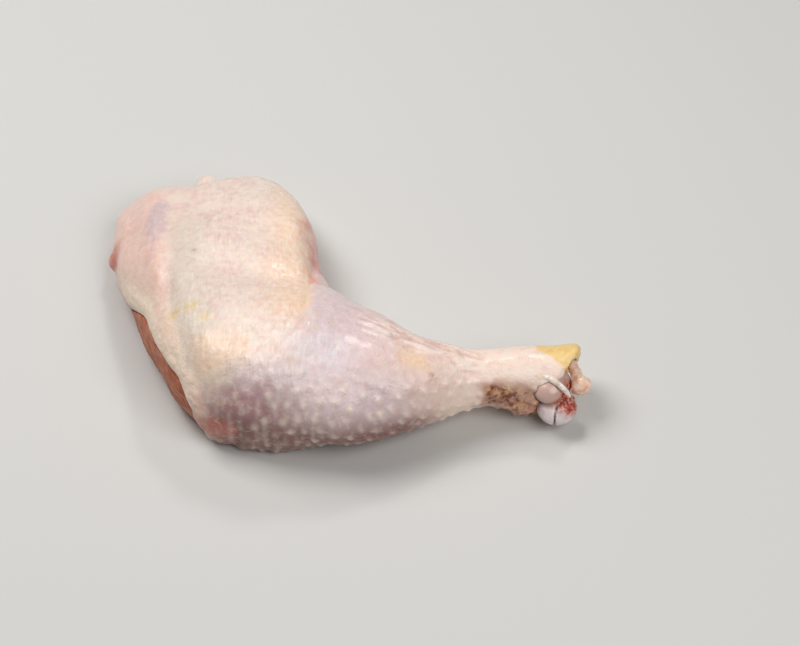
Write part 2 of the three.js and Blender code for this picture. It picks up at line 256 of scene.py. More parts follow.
def leg_field(x, y, z):
    thigh = melt(thigh_field(x, y, z), ellipsoid(x, y, z, *KNOB), KNOB_BLEND)
    thigh = melt(thigh, ellipsoid(x, y, z, *NUB), NUB_BLEND)
    drumstick = melt(drumstick_field(x, y, z), ellipsoid(x, y, z, *HEEL), HEEL_BLEND)
    from_knee = np.hypot(x - KNEE_BACK[0], y - KNEE_BACK[1])
    leg = melt(thigh, drumstick, BLEND_SHARP + BLEND_SOFT * smooth(from_knee, *BLEND_REACH))
    grooves = CREASE_DEPTH * hill(x - crease_x(y), CREASE_WIDTH)
    grooves = grooves + FOLD_DEPTH * hill(to_line(x, y, FOLD_LINE), FOLD_WIDTH)
    swell = 0.5 * np.sin(x * 0.19 + y * 0.07) * np.sin(y * 0.17 - x * 0.05 + z * 0.1)
    return leg + grooves * smooth(z, 14, 22) + swell


# %% [markdown]
# A surface net turns a field into a mesh. Space is divided into small cells. Each cell that the
# surface passes through gets one vertex, and each grid edge that the surface crosses gets one
# quad between the four cells round it. The vertices then slide along the field's slope until
# they lie on the surface, which makes it smooth. A finer grid gives a finer skin.

# %% From a field to a mesh


def slope(field, points):
    step = 0.05
    sides = []
    for axis in range(3):
        shift = np.zeros(3)
        shift[axis] = step
        sides.append(field(*(points + shift).T) - field(*(points - shift).T))
    return np.stack(sides, 1) / (2 * step)


def outwards(field, points):
    made = slope(field, points)
    return made / np.maximum(np.linalg.norm(made, axis=1, keepdims=True), 1e-6)


def wrap(field, step, low=LOW, high=HIGH, slides=4):
    """The vertices and quads of the field's zero surface"""
    low = np.array(low, float)
    cells = np.ceil((np.array(high) - low) / step).astype(int)
    axes = [low[a] + step * np.arange(cells[a] + 1) for a in range(3)]
    values = field(*np.meshgrid(*axes, indexing="ij"))
    inside = values < 0
    corners = [np.array((i, j, k)) for i in (0, 1) for j in (0, 1) for k in (0, 1)]
    held = 0
    for corner in corners:
        held = held + inside[tuple(slice(c, c + n) for c, n in zip(corner, cells))].astype(int)
    at = np.argwhere((held > 0) & (held < 8))
    total, hits = np.zeros((len(at), 3)), np.zeros((len(at), 1))
    for corner in corners:
        for axis in range(3):
            if corner[axis]:
                continue
            beyond = corner + np.eye(3, dtype=int)[axis]
            here, there = values[tuple((at + corner).T)], values[tuple((at + beyond).T)]
            crossed = (here < 0) != (there < 0)
            share = np.where(crossed, here / np.where(crossed, here - there, 1), 0)
            total += crossed[:, None] * (corner + share[:, None] * (beyond - corner))
            hits += crossed[:, None]
    points = low + step * (at + total / hits)
    for _ in range(slides):
        way = slope(field, points)
        points -= way * (field(*points.T) / np.maximum((way**2).sum(1), 0.1))[:, None]
    number = np.zeros(cells, int)
    number[tuple(at.T)] = np.arange(len(at))
    quads = []
    for axis in range(3):
        ahead = [slice(None)] * 3
        ahead[axis] = slice(1, None)
        behind = [slice(None)] * 3
        behind[axis] = slice(None, -1)
        start = inside[tuple(behind)]
        edges = np.argwhere(start != inside[tuple(ahead)])
        u, v = np.eye(3, dtype=int)[(axis + 1) % 3], np.eye(3, dtype=int)[(axis + 2) % 3]
        ring = [number[tuple((edges - shift).T)] for shift in (u + v, v, 0 * u, u)]
        ring = np.stack(ring, 1)
        facing_back = ~start[tuple(edges.T)]
        ring[facing_back] = ring[facing_back][:, ::-1]
        quads.append(ring)
    return points, np.concatenate(quads)


# %% [markdown]
# The fields are written in the leg's working millimetres. A piece's mesh takes them over to the
# frame's metres, whose origin is the middle of the footprint. Cutting and joining is done with
# Blender's Boolean modifier, applied at once.

# %% Tools for pieces


def piece_of(name, points, faces):
    """A Blender object from points in the leg's working millimetres"""
    mesh = bpy.data.meshes.new(name)
    mesh.from_pydata(((points - FOOTPRINT_MIDDLE) * MM).tolist(), [], faces.tolist())
    piece = bpy.data.objects.new(name, mesh)
    bpy.context.scene.collection.objects.link(piece)
    return piece


def work_points(piece):
    """The piece's vertices in the leg's working millimetres"""
    flat = np.empty(len(piece.data.vertices) * 3, np.float32)
    piece.data.vertices.foreach_get("co", flat)
    return flat.reshape(-1, 3).astype(float) / MM + FOOTPRINT_MIDDLE


def carve(piece, tools, operation="DIFFERENCE"):
    """Cuts tools out of the piece, or joins them to it, and removes them"""
    for tool in tools:
        modifier = piece.modifiers.new("carve", "BOOLEAN")
        modifier.operation = operation
        modifier.solver = "MANIFOLD"
        modifier.object = tool
        bpy.context.view_layer.update()
        done = piece.evaluated_get(bpy.context.evaluated_depsgraph_get())
        result = bpy.data.meshes.new_from_object(done)
        piece.modifiers.clear()
        piece.data = result
    return piece


def discard(tools):
    for tool in tools:
        bpy.data.objects.remove(tool)


def coat(piece, material):
    """Gives the piece one material, in place of the empty slot that carving leaves"""
    piece.data.materials.clear()
    piece.data.materials.append(material)


def finish_surface(piece, sharp_degrees=50):
    piece.data.polygons.foreach_set("use_smooth", np.ones(len(piece.data.polygons), bool))
    piece.data.set_sharp_from_angle(angle=np.radians(sharp_degrees))
    print(piece.name, "has", len(piece.data.vertices), "vertices and", len(piece.data.polygons), "faces")


# %% [markdown]
# Feathers were plucked from this skin. Each left a follicle, a little hill in a row with its
# neighbours, clearest on the lower drumstick. On the thigh the skin is thinner and lies in fine
# wrinkles across the stretch. Such relief is only tenths of a millimetre, so it is added by
# moving the vertices of the fine mesh outwards or inwards.

# %% Goosebumps and wrinkles
# Millimetres between rows and along a row, and a hill's radius
FOLLICLE_ROW = 4.7
FOLLICLE_STEP = 5.3
FOLLICLE_RADIUS = 1.1
THIGH_FOLLICLE = 2.9


def dice(i, j, seed):
    """The same random number from 0 to 1 each time for a place in a row"""
    mixed = np.sin(i * 12.9898 + j * 78.233 + seed * 37.719) * 43758.5453
    return mixed - np.floor(mixed)


def dotted(u, v, step, row, radius, jitter):
    """Soft round dots in staggered rows, uneven in place and strength"""
    made = np.zeros(np.shape(u))
    base_j = np.round(v / row)
    for dj in (-1, 0, 1):
        j = base_j + dj
        offset = 0.5 * step * (j % 2)
        base_i = np.round((u - offset) / step)
        for di in (-1, 0, 1):
            i = base_i + di
            centre_u = i * step + offset + jitter * step * (dice(i, j, 1) - 0.5)
            centre_v = j * row + jitter * row * (dice(i, j, 2) - 0.5)
            strength = 0.55 + 0.45 * dice(i, j, 3)
            dot = strength * hill(np.hypot(u - centre_u, v - centre_v), radius)
            made = np.maximum(made, dot)
    return made


def grain(points, size):
    """Soft noise from -1 to 1; size is the width of a lump in mm, one number or one for each axis"""
    return np.array([noise.noise(Vector(p)) for p in points / np.array(size)])


def round_drumstick(x, y, z):
    """The angle round the drumstick from the middle of its upper side, and its mean radius there"""
    middle_y, middle_z, wide, tall = along_drumstick(np.clip(x, DRUMSTICK[0, 0], DRUMSTICK[-1, 0]))
    return np.arctan2(middle_y - y, z - middle_z), (wide + tall) / 2


def on_drumstick(x, y):
    return smooth(x + 0.35 * (y + 30), -22, -6) * smooth(-y, 8, 22)


def goosebumps(x, y, z):
    angle, radius = round_drumstick(x, y, z)
    low_side = smooth(np.abs(angle), 0.35, 1.15)
    share = smooth(x, -42, -22) * smooth(-y, 30, 44) * smooth(-x, -62, -46)
    share = share * (0.15 + 0.85 * low_side)
    return share * dotted(x, angle * radius, FOLLICLE_STEP, FOLLICLE_ROW, FOLLICLE_RADIUS, 0.4)


def thigh_follicles(x, y):
    share = (1 - on_drumstick(x, y)) * smooth(x, -60, -35)
    return share * dotted(x, y, THIGH_FOLLICLE * 1.2, THIGH_FOLLICLE, 0.95, 0.35)


# %% [markdown]
# The skin doesn't close round the leg. It ends in a wide window under the thigh, in a long oval
# cut down the hip side, where a strip of meat shows, and at the hock, where the foot was cut off
# on a slant. Each opening is a field too, so its edge can wander a little: skin doesn't tear
# along a ruler. The cut on the hip side narrows to a slit at its two ends.

# %% Where the skin is open


def side_cut_field(x, y, z):
    """The long oval cut on the hip side"""
    along = SIDE_CUT_TO - SIDE_CUT_FROM
    half = np.linalg.norm(along) / 2
    along = along / (2 * half)
    across = np.cross((0, 0, 1), along) / np.hypot(along[0], along[1])
    from_middle = [v - m for v, m in zip((x, y, z), (SIDE_CUT_FROM + SIDE_CUT_TO) / 2)]
    radii = ((along, half), (across, SIDE_CUT_WIDE), (np.cross(along, across), SIDE_CUT_TALL))
    reach = sum((sum(v * w for v, w in zip(from_middle, way)) / radius) ** 2 for way, radius in radii)
    return (np.sqrt(reach) - 1) * SIDE_CUT_WIDE


def window_field(x, y, z):
    """The openings under the thigh and on the hip side in one"""
    uneven = 0.7 * np.sin(0.35 * x - 0.5 * y) + 0.5 * np.sin(0.9 * y + 0.4 * x)
    under = np.maximum(window_outline(x, y) + 0.6 * uneven, z - WINDOW_HEIGHT - 0.8 * uneven)
    narrowed = 0.5 + 1.2 * smooth(y, -18, -4) - 1.1 * smooth(-y, 18, 40) + 2.8 * smooth(-y, 49, 59)
    side = side_cut_field(x, y, z) + narrowed + 0.35 * np.sin(0.22 * y + 0.6 * z)
    return melt(under, side, 2.0)


def hock_field(x, y, z):
    """Less than 0 on the leg's side of the slanted cut at the hock"""
    past = sum((v - p) * w for v, p, w in zip((x, y, z), CUT_AT, CUT_NORMAL))
    return past + 0.5 * np.sin(0.8 * y + 1.1) + 0.3 * np.sin(1.7 * z + 0.6 * y)


def hock_cutter_field(back):
    """A block past the slanted cut, set back by some millimetres"""
    def field(x, y, z):
        block = np.maximum(np.maximum(np.abs(y + 40) - 30, np.abs(z - 14) - 25), x - 95)
        return np.maximum(block, -hock_field(x, y, z) - back)
    return field


under_thigh = float(window_field(-50.0, 0.0, 0.0))
print("under the thigh's middle the window's edge is", round(-under_thigh, 1), "mm away")

# %% [markdown]
# Other marks lie on the skin itself: a dent beside the knob, a fold at the thigh's lower corner,
# tight folds along the drumstick's upper edge, and scalded, torn skin under the ankle. Each is a
# place with a soft edge, so it fades into the plain skin round it.

# %% Marks on the skin
BESIDE_KNOB = np.array([-59.5, 55, 19])
CORNER_FOLD = [(-52, -47), (-45, -54), (-38, -58), (-33, -64)]
UPPER_EDGE = [(14, -31), (29, -36), (44, -38.5)]


def patch(points, centre, radii, rough=0.35):
    """1 in the middle of an uneven round patch and 0 outside it"""
    reach = np.linalg.norm((points - np.array(centre)) / np.array(radii), axis=1)
    return 1 - smooth(reach + rough * grain(points, 7), 0.35, 1.15)


def pulled_folds(points):
    """Folds from about -0.5 to 0.5 along the drumstick's upper edge, where the skin is pulled tight"""
    x, y, z = points.T
    along = np.array(UPPER_EDGE[-1]) - np.array(UPPER_EDGE[0])
    across_x, across_y = along / np.hypot(*along)
    turned = np.stack([x * across_x + y * across_y, y * across_x - x * across_y, z], 1)
    return hill(to_line(x, y, UPPER_EDGE), 6) * smooth(z, 18, 24) * grain(turned, (16, 1.6, 1.6))


def scald(x, y, z):
    """1 on the scalded, torn skin under the ankle"""
    return smooth(x, 50, 60) * (1 - smooth(z, 15, 22)) * smooth(-y, 38, 44)


# %% [markdown]
# The relief of the outer face is one sum: how far each point moves outwards, in millimetres.
# Where the skin ends, it first thins out and then swells a little, like a rolled lip.

# %% Relief of the outer face


def relief(points, x, y, z):
    lumps = 0.35 * grain(points, 14) + 0.18 * grain(points, 6)
    wrinkles = 0.16 * grain(points, (1.9, 16, 16)) * smooth(z, 12, 20) * smooth(-x, -12, 5)
    bumps = 0.9 * goosebumps(x, y, z) + 0.2 * thigh_follicles(x, y)
    creases = 0.9 * pulled_folds(points)
    creases = creases - 0.2 * hill(x - crease_x(y), 1.6) * smooth(z, 16, 24) * smooth(-y, -48, -36)
    creases = creases - 1.0 * hill(np.linalg.norm(points - BESIDE_KNOB, axis=1), 6)
    creases = creases - 1.1 * hill(to_line(x, y, CORNER_FOLD), 1.5) * smooth(-z, -24, -16)
    creases = creases - 0.5 * hill(to_line(x, y, FOLD_LINE[:3]), 0.9) * smooth(z, 14, 22)
    taut = patch(points, (-5, -46, 40), (11, 9, 9)) + patch(points, (28, -22, 24), (26, 9, 9))
    creases = creases + 0.35 * taut * grain(points, (1.5, 7, 7))
    burnt = scald(x, y, z) * (1.5 * grain(points, 3.2) + 0.9 * grain(points, 1.7))
    window = np.maximum(window_field(x, y, z), 0)
    hock = np.maximum(-hock_field(x, y, z), 0)
    lips = -0.9 * hill(window, 0.7) + 0.5 * hill(window - 2.4, 1.4)
    lips = lips - 0.7 * hill(hock, 0.7) + 0.25 * hill(hock - 2.2, 1.4)
    fatty = 0.5 * hill(window - 2.5, 2) * grain(points, 1.6) * smooth(z, 9, 15)
    return lumps + wrinkles + bumps + creases + burnt + lips + fatty


# %% [markdown]
# The skin is a shell: the outside of the leg with its relief, minus the same leg two millimetres
# smaller, minus the openings. A grid of 0.8 mm is just fine enough for a goosebump to come out
# round. The lining can't be seen, so a coarse grid does for it.

# %% The skin's outer face and its cutters
SKIN_STEP = 0.8
LINING_STEP = 3.2
points, quads = wrap(leg_field, SKIN_STEP)
points += outwards(leg_field, points) * relief(points, *points.T)[:, None]
points[:, 2] = np.maximum(points[:, 2], 0)
skin = piece_of("chicken_skin", points, quads)
print("the skin's outer face has", len(points), "vertices")

inner_points, inner_quads = wrap(leg_field, LINING_STEP)
inner_ways = outwards(leg_field, inner_points)


def inner_face(name, depth, floor):
    """The leg made smaller by a depth, and flat underneath at a height"""
    moved = inner_points - inner_ways * depth
    moved[:, 2] = np.maximum(moved[:, 2], floor)
    return piece_of(name, moved, inner_quads)


lining = inner_face("lining", SKIN, SKIN)
window_cutter = piece_of("window_cutter", *wrap(window_field, 1.0, (-114, -74, -14), (-12, 56, 32)))
hock_cutter = piece_of(
    "hock_cutter", *wrap(hock_cutter_field(0), 1.0, (40, -76, -16), (98, -4, 44), slides=0)
)

# %% [markdown]
# The leg bone ends in two rounded condyles, the knuckles of the ankle joint, covered in smooth
# bluish cartilage. Between them the joint end is chipped open and shows red marrow.

# %% The bone
SHAFT_FROM, SHAFT_TO, SHAFT_RADIUS = np.array([-22, -35, 19]), np.array([72, -39, 13.5]), 4.2
UPPER_CONDYLE = ((73.5, -43.9, 15.8), (6, 5.5, 4.6))
LOWER_CONDYLE = ((76.5, -45.9, 8.5), (7.2, 7.2, 6))
JOINT_END = ((74.5, -39.5, 12.5), (7.5, 6.5, 7.5))
MARROW_AT = np.array([80.4, -45.6, 12.4])
MARROW_RADIUS = 5.3
CRACK_LINE = [(78.6, -47.5), (75.8, -50.2), (75.2, -54)]


def bone_field(x, y, z):
    along = SHAFT_TO - SHAFT_FROM
    t = sum((v - a) * d for v, a, d in zip((x, y, z), SHAFT_FROM, along))
    t = np.clip(t / (along @ along), 0, 1)
    away = np.sqrt(sum((v - a - t * d) ** 2 for v, a, d in zip((x, y, z), SHAFT_FROM, along)))
    shaft = away - SHAFT_RADIUS
    knuckles = melt(ellipsoid(x, y, z, *UPPER_CONDYLE), ellipsoid(x, y, z, *LOWER_CONDYLE), 0.7)
    return melt(shaft, melt(knuckles, ellipsoid(x, y, z, *JOINT_END), 1.0), 1.5)


def bone_relief(points, x, y, z):
    marrow = hill(np.linalg.norm(points - MARROW_AT, axis=1), MARROW_RADIUS)
    crack = hill(to_line(x, y, CRACK_LINE), 0.35) * smooth(-z, -15, -12.5)
    return marrow * (1.2 * grain(points, 1.7) - 0.6) - 0.9 * crack + 0.12 * grain(points, 3)


def fine_piece(name, field, step, low, high, relief_of):
    made_points, made_quads = wrap(field, step, low, high)
    made_points += outwards(field, made_points) * relief_of(made_points, *made_points.T)[:, None]
    return piece_of(name, made_points, made_quads)


bone = fine_piece("leg_bone", bone_field, 0.6, (-30, -58, -2), (90, -26, 30), bone_relief)
finish_surface(bone)


def bone_room(x, y, z):
    return bone_field(x, y, z) - GAP


bone_cutter = piece_of("bone_cutter", *wrap(bone_room, 1.6, (-30, -58, -2), (90, -26, 30)))

# %% [markdown]
# Booleans now take the cutters out of the skin, one after the other. A closed solid stays closed
# that way, so the skin shows its two millimetres of thickness at each edge by itself. The bone
# needs its own room in the skin, because the two touch at the hock.

# %% Cut the skin open
carve(skin, [lining, window_cutter, hock_cutter, bone_cutter])
finish_surface(skin)

# %% [markdown]
# The bare meat fills the window and lies a little deeper than the skin. Its face is raw muscle:
# long fibres with thin seams of fat between them.

# %% The meat


def bare_field(x, y, z):
    return np.maximum(leg_field(x, y, z) + BARE_INSET, window_field(x, y, z) + GAP)


def meat_relief(points, x, y, z):
    fibres = grain(points @ np.array([[0.5, -0.85, 0], [0.85, 0.5, 0], [0, 0, 1]]), (14, 1.6, 1.6))
    return 0.3 * fibres + 0.3 * grain(points, 7) - 0.2


bare_points, bare_quads = wrap(bare_field, 1.0, (-94, -74, -14), (-12, 56, 32), slides=2)
bare_points += outwards(bare_field, bare_points) * meat_relief(bare_points, *bare_points.T)[:, None]
bare_points[:, 2] = np.maximum(bare_points[:, 2], 0)
bare = piece_of("bare", bare_points, bare_quads)
meat = inner_face("leg_meat", SKIN + GAP, SKIN + GAP)
back_cutter = piece_of(
    "back_cutter", *wrap(hock_cutter_field(MEAT_RECESS), 1.5, (30, -76, -16), (98, -4, 44), slides=0)
)
carve(meat, [bare], "UNION")
carve(meat, [back_cutter, bone_cutter])
discard([lining, window_cutter, hock_cutter, bone_cutter, back_cutter, bare])
finish_surface(meat)

# %% [markdown]
# A strip of white tendon runs over the upper condyle, and tan tissue from the joint's capsule
# hangs at the tip, between the yellow skin and the bone.

# %% Tendon and joint capsule
TENDON_FROM, TENDON_TO, TENDON_STEPS = 2.5, 0.35, 8
# The finer strip lies half a millimetre closer to the bone than its solid, or it would look like a loop
TENDON_LIFT, TENDON_TILT = 0.9, -0.75
TENDON_RADIUS = (1.35, 0.8)
CAPSULE = [
    ((84.5, -40.5, 13.5), (4.2, 3.4, 3.6)),
    ((83.2, -37.2, 16), (2.4, 2.6, 2.4)),
    ((82, -35.2, 18.4), (1.9, 2.2, 1.8)),
]


def tendon_line():
    """Corners of the strip's path, an arc over the upper condyle"""
    angles = np.linspace(TENDON_FROM, TENDON_TO, TENDON_STEPS + 1)
    (x, y, z), radii = UPPER_CONDYLE
    wide, deep, high = np.array(radii) + TENDON_LIFT
    return np.stack([
        x + wide * np.cos(angles),
        y + deep * np.cos(angles) * TENDON_TILT,
        z + high * np.sin(angles),
    ], 1)


def tendon_field(x, y, z):
    line = tendon_line()
    thick, thin = TENDON_RADIUS
    made = np.full(np.shape(x), np.inf)
    for number, (a, b) in enumerate(zip(line[:-1], line[1:])):
        d = b - a
        t = np.clip(((x - a[0]) * d[0] + (y - a[1]) * d[1] + (z - a[2]) * d[2]) / (d @ d), 0, 1)
        radius = thick + (thin - thick) * (number + t) / TENDON_STEPS
        away = np.sqrt(sum((v - p - t * q) ** 2 for v, p, q in zip((x, y, z), a, d)))
        made = np.minimum(made, away - radius)
    return made


def capsule_field(x, y, z):
    lobes = [ellipsoid(x, y, z, *lobe) for lobe in CAPSULE]
    lump = melt(melt(lobes[0], lobes[1], 1.2), lobes[2], 1.0)
    return np.maximum(lump, GAP - bone_field(x, y, z))


tendon = fine_piece(
    "tendon_strip", tendon_field, 0.3, (64, -52, 14), (84, -36, 26),
    lambda p, x, y, z: 0.12 * grain(p, 1.4),
)
capsule = fine_piece(
    "joint_tissue", capsule_field, 0.4, (76, -47, 7), (92, -30, 23),
    lambda p, x, y, z: 0.35 * grain(p, 2.4) + 0.2 * grain(p, 1.1),
)
finish_surface(tendon)
finish_surface(capsule)

# %% [markdown]
# The colours of raw skin come from what lies under it: yellow-white fat, pink and lilac muscle,
# a bruise-like mauve at the belly, and grey where the skin is thick. Such patches are worked out
# for each vertex from its place on the leg, and stored on the mesh as named values from 0 to 1.
# The material then mixes in one colour for each name. First come the patches of the thigh: its
# hip band, its grey and peach halves, and the red flesh that shines through at the knee's wall.

# %% Patches on the thigh
YELLOW_SPECKS = [((-50.9, -25.2, 38.3), 3.6), ((-57.4, -25.9, 34.4), 2.8), ((-45.8, -31.6, 40.3), 3.1)]


def most(*values):
    """The largest of the values at each point"""
    made = values[0]
    for value in values[1:]:
        made = np.maximum(made, value)
    return made


def thigh_patches(points, wander):
    x, y, z = points.T
    knee_half = smooth(-9.3 - x + 0.3 * wander, -1, 1.4) * smooth(y, -42, -26)
    return {
        "hip_band": smooth(crease_x(y) - x + wander, -3, 5),
        "grey_fat": hill(x - crease_x(y) - 7 + wander, 8) * smooth(-y, -32, -14) * smooth(z, 20, 30),
        "blue_tint": patch(points, (-68, 24, 29), (5, 20, 8)),
        "peach": most(
            knee_half * smooth(x + wander, -34, -14),
            0.9 * patch(points, (-41, -46, 37), (14, 11, 12)),
        ),
        "yellow_fat": most(*(patch(points, place, (size, size, 9)) for place, size in YELLOW_SPECKS)),
        "knee_wall": patch(points, (-8, 14, 16), (10, 30, 19), 0.6),
        "thigh_follicle": thigh_follicles(x, y),
    }


# %% [markdown]
# The drumstick is lilac near the knee and pink along its middle. Its low side, turned away from
# the light, is painted dark brown as shade, and mauve towards the belly. The follicles stand out
# pale, most of all on that low side, though the painted shade dims them at the very bottom. Along
# the upper edge the fold tops get a painted highlight and the grooves painted shade, and the taut
# skin near the knee is painted paler, partly its own tone and partly the shine of its wet streaks.

# %% Patches on the drumstick
RED_DOTS = [(-52.2, 4.5), (32.4, -48.4)]


def drumstick_patches(points, wander):
    x, y, z = points.T
    turned = np.degrees(round_drumstick(x, y, z)[0])
    blur = 1 + 7 * most(smooth(-y, 22, 36), smooth(-z, -32, -22))
    folds = pulled_folds(points)
    return {
        "lilac": most(
            smooth((x + 8.6 + 0.3 * wander) / blur, -1.4, 0.6) * smooth(-x, -30, 0),
            smooth(-y + 0.5 * wander, 46, 56) * smooth(x, -42, -30) * smooth(-x, -34, -14),
        ),
        "pink_flesh": smooth(x + wander, -9, -5) * smooth(-x, -46, -32),
        "orange": most(
            patch(points, (27, -44, 32), (8, 7, 6)),
            0.8 * patch(points, (48, -46.5, 17), (12, 6, 8)),
        ),
        # paler bluish white on the taut skin near the knee: partly its own tone, partly a painted
        # highlight for the shine of its wet streaks
        "taut": patch(points, (-5, -46, 40), (15, 10, 9)),
        "mauve": patch(points, (-30, -61, 24), (20, 11, 14)),
        # painted shade: the low side, turned away from the light, is darkened in brown
        "painted_shade_low_side": smooth(turned + wander, 66, 98) * smooth(x, -52, -40) * smooth(-x, -44, -20),
        "wrinkled": most(
            (1 - 0.75 * smooth(x, -14, -4)) * smooth(x, -64, -50) * (1 - 0.7 * smooth(turned, 45, 75)),
            patch(points, (-5, -46, 40), (14, 10, 9)),
        ),
        # painted highlight on the tops of the folds and painted shade in their grooves, following the
        # relief
        "painted_highlight_fold_tops": smooth(folds, 0.04, 0.22),
        "painted_shade_fold_grooves": smooth(-folds, 0.04, 0.22),
        # the pale follicles fade at the very bottom, under the painted shade
        "follicle": goosebumps(x, y, z) * (1 - 0.45 * smooth(turned, 80, 110)),
        "red_dot": most(*(hill(np.hypot(x - dot_x, y - dot_y), 0.7) for dot_x, dot_y in RED_DOTS)),
    }


# %% [markdown]
# The ankle is pale pink and ends in yellow, scaly skin, where the foot's own skin begins. Below,
# hot water has scalded it brown. Along the openings the skin shows its fat, and its raw edge.

# %% Patches at the ankle and along the edges


def edge_patches(points, wander):
    x, y, z = points.T
    yellow_side = (x - 71.5) * 0.684 + (y + 34.5) * 0.729 + 0.4 * wander
    window = np.abs(window_field(x, y, z))
    return {
        "ankle": smooth(x + wander, 30, 46),
        "scales": smooth(yellow_side, -0.5, 0.7) * smooth(x, 68, 70),
        "scald": most(0.8 * scald(x, y, z), patch(points, (58, -47, 15), (11, 6, 9))),
        "burnt_lumps": most(scald(x, y, z), patch(points, (59, -47, 17), (9, 6, 7)))
        * smooth(grain(points, 2.4), 0.0, 0.45),
        "fat_rim": hill(window, 6) * smooth(z, 9, 15) * smooth(-x, 44, 54),
        "raw_edge": most(
            hill(window, 1.6) * smooth(z, -1, 3) * smooth(-z, -15, -9),
            patch(points, (-84, 21, 13), (6, 8, 7)),
            patch(points, (-43, -57, 13), (12, 7, 7)),
            0.7 * hill(hock_field(x, y, z), 1.6) * smooth(-z, -21, -16),
        ),
    }


# %% [markdown]
# The values go onto the meshes as attributes, one number for each vertex. The bone gets some of
# its own: red marrow, a crack, the warm upper side, and painted shade in the hollow between its
# knuckles.

# %% Store the patches on the meshes


def store(piece, values):
    for name, value in values.items():
        attribute = piece.data.attributes.new(name, "FLOAT", "POINT")
        attribute.data.foreach_set("value", np.clip(value, 0, 1).astype(np.float32))
    print(piece.name, "holds", ", ".join(values))


skin_points = work_points(skin)
wander = 2.2 * grain(skin_points, 9)
store(skin, thigh_patches(skin_points, wander))
store(skin, drumstick_patches(skin_points, wander))
store(skin, edge_patches(skin_points, wander))

bone_points = work_points(bone)
bone_x, bone_y, bone_z = bone_points.T
from_marrow = np.linalg.norm(bone_points - MARROW_AT, axis=1)
from_upper = ellipsoid(bone_x, bone_y, bone_z, *UPPER_CONDYLE)
from_lower = ellipsoid(bone_x, bone_y, bone_z, *LOWER_CONDYLE)
store(bone, {
    "marrow": hill(from_marrow + 1.2 * grain(bone_points, 2), MARROW_RADIUS),
    "crack": hill(to_line(bone_x, bone_y, CRACK_LINE), 0.35) * smooth(-bone_z, -15, -12.5),
    "warm": smooth(bone_z + grain(bone_points, 5), 11, 15),
    # painted shade: brown in the hollow where the two knuckles meet
    "painted_shade_between_knuckles": hill(from_upper - from_lower, 1.3),
})

# %% [markdown]
# Every material here is wet tissue: a water-based gel under a film of moisture. Water's index of
# refraction is 1.33 and flesh lies near 1.4, so the shine is weak but clear. Light enters the
# tissue, scatters and comes out nearby, redder than it went in. The subsurface setting does
# that, and the coat is the film of moisture. The noise patterns take their size in millimetres.

# %% Tools for materials


def linear(code):
    """A colour from its sRGB hex code, turned to linear for the shader"""
    parts = [int(code[i : i + 2], 16) / 255 for i in (1, 3, 5)]
    return [c / 12.92 if c <= 0.04045 else ((c + 0.055) / 1.055) ** 2.4 for c in parts] + [1]


def add(tree, kind, inputs, output=0, **settings):
    """Adds a node; each input is a value, a hex colour or the socket to link"""
    made = tree.nodes.new(kind)
    for name, value in settings.items():
        setattr(made, name, value)
    for name, value in inputs.items():
        if isinstance(value, bpy.types.NodeSocket):
            tree.links.new(value, made.inputs[name])
        else:
            made.inputs[name].default_value = linear(value) if isinstance(value, str) else value
    return made.outputs[output]


def wet_tissue(name, roughness, film, scatter_mm=1.6):
    """A new material with its node tree and shader; film is the share of moisture on top"""
    made = bpy.data.materials.new(name)
    made.use_nodes = True
    shader = made.node_tree.nodes["Principled BSDF"]
    settings = {
        "IOR": 1.4,
        "Roughness": roughness,
        "Subsurface Weight": 0.25,
        "Subsurface Radius": (1.0, 0.45, 0.3),
        "Subsurface Scale": scatter_mm * MM,
        "Coat Weight": film,
        "Coat Roughness": 0.15,
        "Coat IOR": 1.33,
    }
    for setting, value in settings.items():
        shader.inputs[setting].default_value = value
    return made, made.node_tree, shader


def tinted(tree, colour, tints):
    """Lays tints over a colour: each is a value, where it starts and is full, a strength, a hex code"""
    for value, start, full, strength, code in tints:
        share = add(
            tree, "ShaderNodeMapRange",
            {"Value": value, "From Min": start, "From Max": full, "To Max": strength},
        )
        colour = add(tree, "ShaderNodeMix", {0: share, 6: colour, 7: code}, 2, data_type="RGBA")
    return colour


# %% [markdown]
# Raw chicken skin is a thin, half clear hide, so it takes the colour of what lies under it. Each
# stored patch lays its own colour over the base, and some patches are painted light and shade. On
# top come three fine patterns: pale lines about a millimetre wide, painted highlights along the
# wrinkles, soft mottling, and specks of yellow fat. The skin is moist but not wet all over, so its
# roughness wanders round 0.4 and the film of moisture stays weak.

# %% Raw chicken skin
SKIN_BASE = "#efd9c9"
SKIN_COLOURS = [
    ("grey_fat", "#dccfbe", 0.75),
    ("hip_band", "#efc5b6", 0.85),
    ("blue_tint", "#c9b6bb", 0.65),
    ("peach", "#f9d3b3", 0.85),
    ("pink_flesh", "#ebcec3", 0.9),
    ("lilac", "#ddc7c9", 0.85),
    ("orange", "#f2cfae", 0.8),
    # taut skin near the knee: partly its own tone, partly a painted highlight
    ("taut", "#f0e4e8", 0.6),
    ("mauve", "#a8666f", 0.72),
    # painted shade, dark brown on the drumstick's low side
    ("painted_shade_low_side", "#7a463e", 0.94),
    ("yellow_fat", "#e3c47a", 0.6),
    ("knee_wall", "#d97c6a", 0.85),
    ("ankle", "#fae0d0", 0.95),
    # painted highlight on the fold tops, then painted shade in the fold grooves
    ("painted_highlight_fold_tops", "#f8e6dd", 0.6),
    ("painted_shade_fold_grooves", "#cc958a", 0.4),
    ("fat_rim", "#f3e2c8", 0.85),
    ("raw_edge", "#c66f60", 0.85),
    ("scales", "#f0cb7c", 0.95),
    ("scald", "#a5613f", 0.9),
    ("burnt_lumps", "#e6b27c", 0.85),
    ("follicle", "#f3e2d2", 0.8),
    ("thigh_follicle", "#f6e8dc", 0.4),
    ("red_dot", "#8f4a40", 0.5),
]


